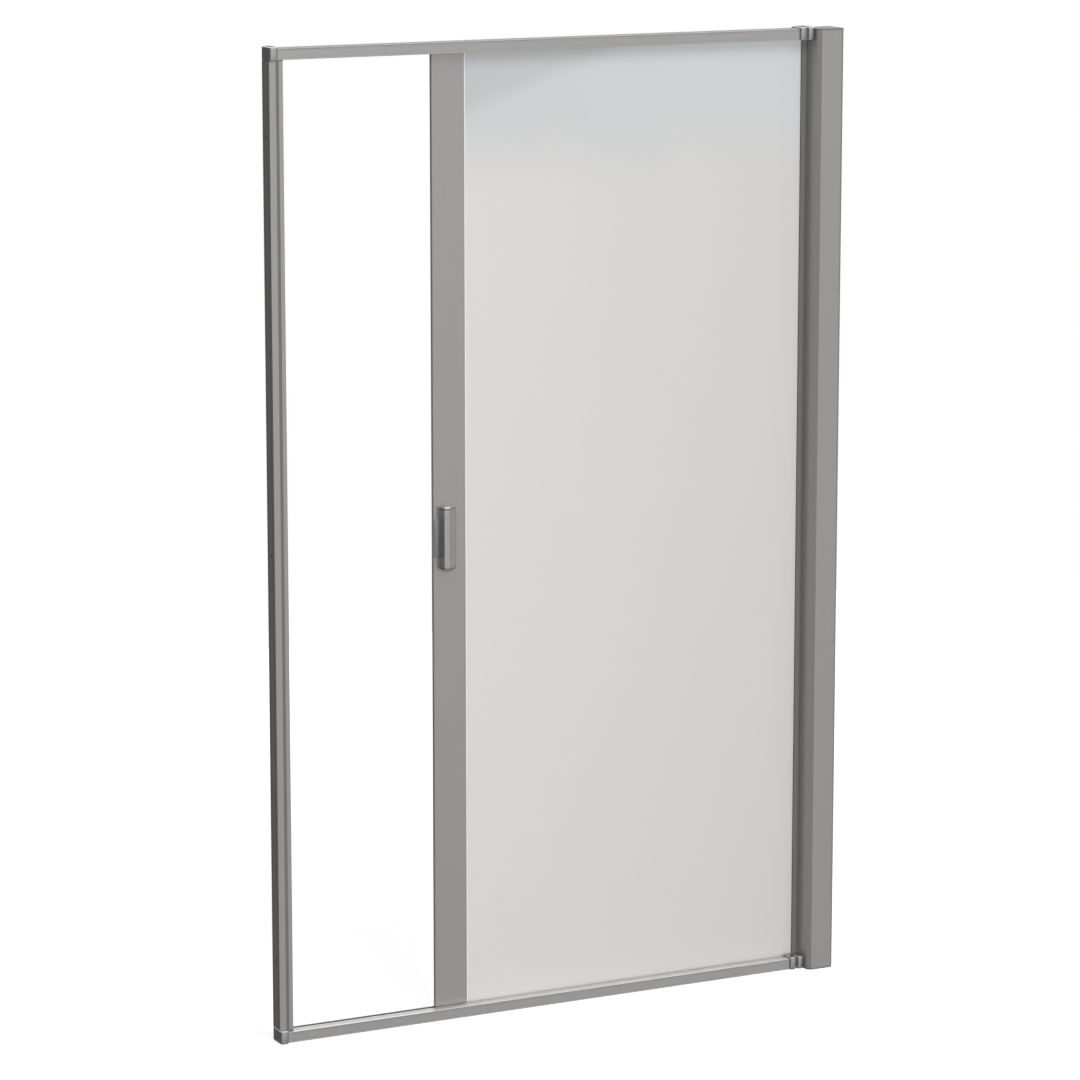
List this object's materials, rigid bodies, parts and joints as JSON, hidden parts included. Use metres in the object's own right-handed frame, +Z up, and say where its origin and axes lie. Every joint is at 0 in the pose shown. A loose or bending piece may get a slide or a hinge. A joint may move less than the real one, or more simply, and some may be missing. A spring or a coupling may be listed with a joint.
{
  "type": "retractable shower door",
  "caption": "Doorway screen of pearl film that a flat pull bar draws out of a side cassette, between tracks, a wall jamb and a magnetic strike jamb.",
  "frame": {"origin": "at floor level, in the middle of the door's width and depth", "axes": "X along the door from the wall jamb to the cassette, +Y from the room into the shower, +Z up"},
  "size_m": [0.924, 0.0466, 1.4505],
  "materials": {
    "silver_aluminium": "satin silver anodised extrusion",
    "grey_corner": "moulded plastic in the colour of the frame",
    "dark_cap": "dark grey moulded plastic",
    "magnet_strip": "flexible magnet strip",
    "pile_seal": "dense dark grey pile",
    "zinc_steel": "zinc plated",
    "spring_steel": "oiled spring wire",
    "roller_tube": "mill finish tube",
    "white_nylon": "natural nylon",
    "pearl_film": "opaque pearl grey semi-rigid film",
    "handle_metal": "satin grey cast metal",
    "handle_screw": "dull steel"
  },
  "bodies": {
    "door_frame": {"wall_jamb": "silver_aluminium", "strike_jamb": "silver_aluminium", "strike_magnet": "magnet_strip", "jamb_screws": "zinc_steel", "bottom_left_corner": "grey_corner", "top_left_corner": "grey_corner", "strike_bottom_foot": "dark_cap", "strike_top_foot": "dark_cap", "bottom_right_connector": "grey_corner", "top_right_connector": "grey_corner", "bottom_track": "silver_aluminium", "top_track": "silver_aluminium", "bottom_track_pile": "pile_seal", "top_track_pile": "pile_seal", "cassette_bottom_cap": "dark_cap", "cassette_top_cap": "dark_cap", "cassette_cover": "silver_aluminium", "cassette_base": "silver_aluminium", "end_cap_screws": "zinc_steel", "mouth_lip_front": "silver_aluminium", "mouth_lip_rear": "silver_aluminium", "mouth_wiper_front": "pile_seal", "mouth_wiper_rear": "pile_seal", "roller_bracket_bottom": "zinc_steel", "roller_bracket_top": "zinc_steel", "pivot_pin": "zinc_steel", "spring_arbor": "zinc_steel", "torsion_spring": "spring_steel"},
    "roller": {"roller_tube": "roller_tube", "roller_bottom_plug": "white_nylon", "roller_top_plug": "white_nylon", "spring_anchor": "white_nylon", "wound_film": "pearl_film"},
    "bar": {"pull_bar": "silver_aluminium", "bar_magnet": "magnet_strip", "film_spline": "white_nylon", "bar_bottom_cap": "dark_cap", "bar_top_cap": "dark_cap", "handle_plate": "handle_metal", "handle_grip": "handle_metal", "handle_screws": "handle_screw", "film_sheet": "pearl_film"}
  },
  "joints": [
    {"name": "bar_slide", "type": "slide", "parent": "door_frame", "child": "bar", "axis": [1, 0, 0], "range_m": [-0.2362, 0.558], "deforming": ["film_sheet"]},
    {"name": "roller_spin", "type": "hinge", "parent": "door_frame", "child": "roller", "pos_m": [0.4395, -0.00215, 0], "axis": [0, 0, 1], "range_deg": [-2000, 848]}
  ],
  "couplings": [
    {"joint": "roller_spin", "follows": "bar_slide", "rad_per_m": -62.5}
  ]
}
